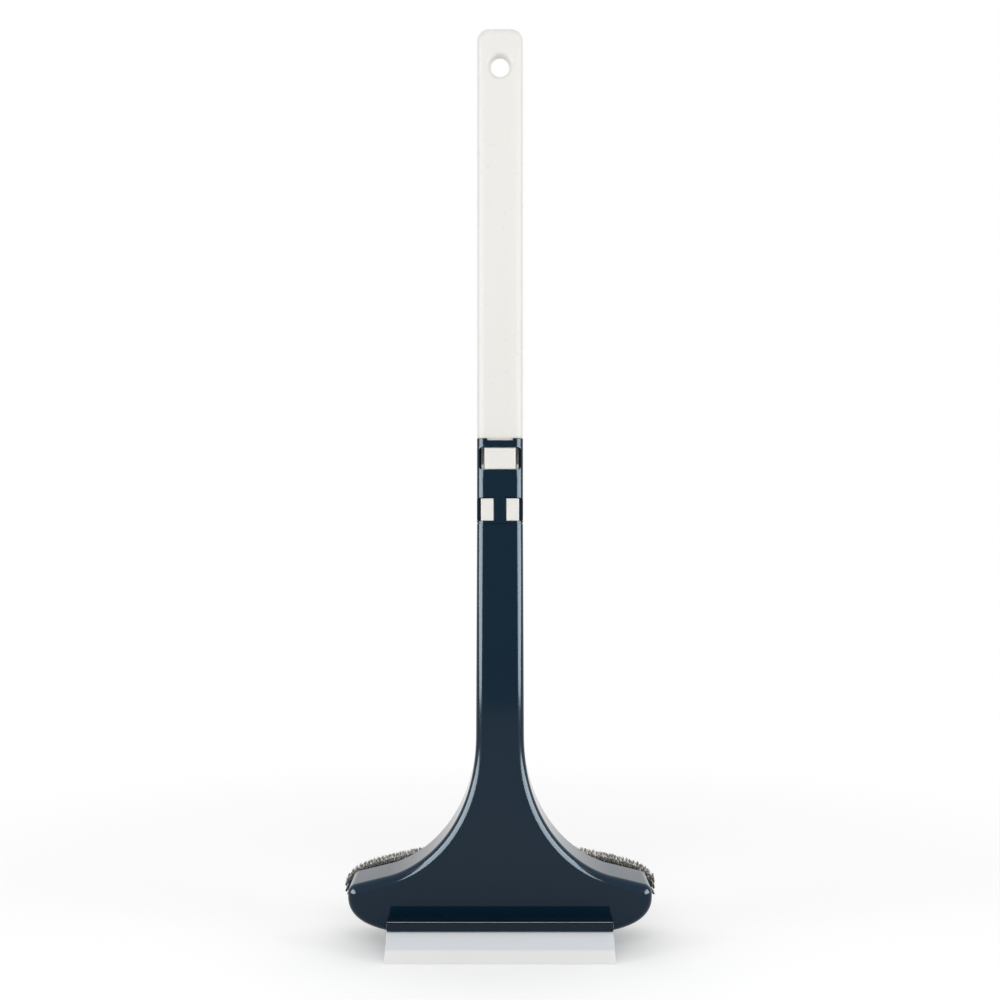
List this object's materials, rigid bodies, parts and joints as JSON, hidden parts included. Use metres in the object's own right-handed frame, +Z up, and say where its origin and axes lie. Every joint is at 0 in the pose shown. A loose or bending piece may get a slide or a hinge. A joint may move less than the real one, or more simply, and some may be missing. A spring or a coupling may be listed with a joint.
{
  "type": "window screen brush",
  "caption": "Long-handled window cleaner with a squeegee blade in front, a pile brush for insect screens behind, and a snap coupling that lets handle and head come apart.",
  "frame": {"origin": "centre of the bounding box in X and Y, at the level of the squeegee blade's edge", "axes": "+Z up along the handle, +X along the blade, squeegee towards -Y and pile towards +Y"},
  "size_m": [0.1428, 0.0593, 0.4078],
  "materials": {
    "navy_gloss": "glossy moulded",
    "navy_satin": "satin moulded",
    "white_plastic": "semi-gloss",
    "blade_rubber": "translucent satin",
    "black_plastic": "matt",
    "pile": "dense cut pile",
    "screw_steel": "zinc plated"
  },
  "bodies": {
    "head": {"head_shell": "navy_gloss", "back_cover": "navy_satin", "neck_spigot": "navy_satin", "blade_channel": "navy_gloss", "brush_board": "black_plastic", "pile_1": "pile", "pile_2": "pile", "pile_3": "pile", "pile_4": "pile", "cover_screw_1": "screw_steel", "cover_screw_2": "screw_steel", "cover_screw_3": "screw_steel", "cover_screw_4": "screw_steel", "channel_screw_1": "screw_steel", "channel_screw_2": "screw_steel"},
    "blade": {"squeegee_blade": "blade_rubber"},
    "clip": {"neck_clip": "white_plastic"},
    "coupling": {"coupling_sleeve": "navy_gloss"},
    "handle": {"handle_tube": "white_plastic", "handle_plug": "white_plastic"},
    "button": {"handle_button": "white_plastic"}
  },
  "joints": [
    {"name": "coupling_pull_off", "type": "slide", "parent": "head", "child": "coupling", "axis": [0, 0, 1], "range_m": [0, 0.02], "deforming": ["neck_clip"]},
    {"name": "handle_pull_off", "type": "slide", "parent": "coupling", "child": "handle", "axis": [0, 0, 1], "range_m": [0, 0.02], "deforming": ["handle_button"]},
    {"name": "button_press", "type": "hinge", "parent": "handle", "child": "button", "pos_m": [0, -0.0097, 0.2383], "axis": [1, 0, 0], "range_deg": [0, 7.5], "stiffness_Nm_per_rad": 0.6},
    {"name": "clip_press", "type": "hinge", "parent": "head", "child": "clip", "pos_m": [0, -0.01095, 0.1711], "axis": [-1, 0, 0], "range_deg": [0, 6], "stiffness_Nm_per_rad": 0.9},
    {"name": "blade_slide", "type": "slide", "parent": "head", "child": "blade", "axis": [1, 0, 0], "range_m": [0, 0.1]}
  ]
}
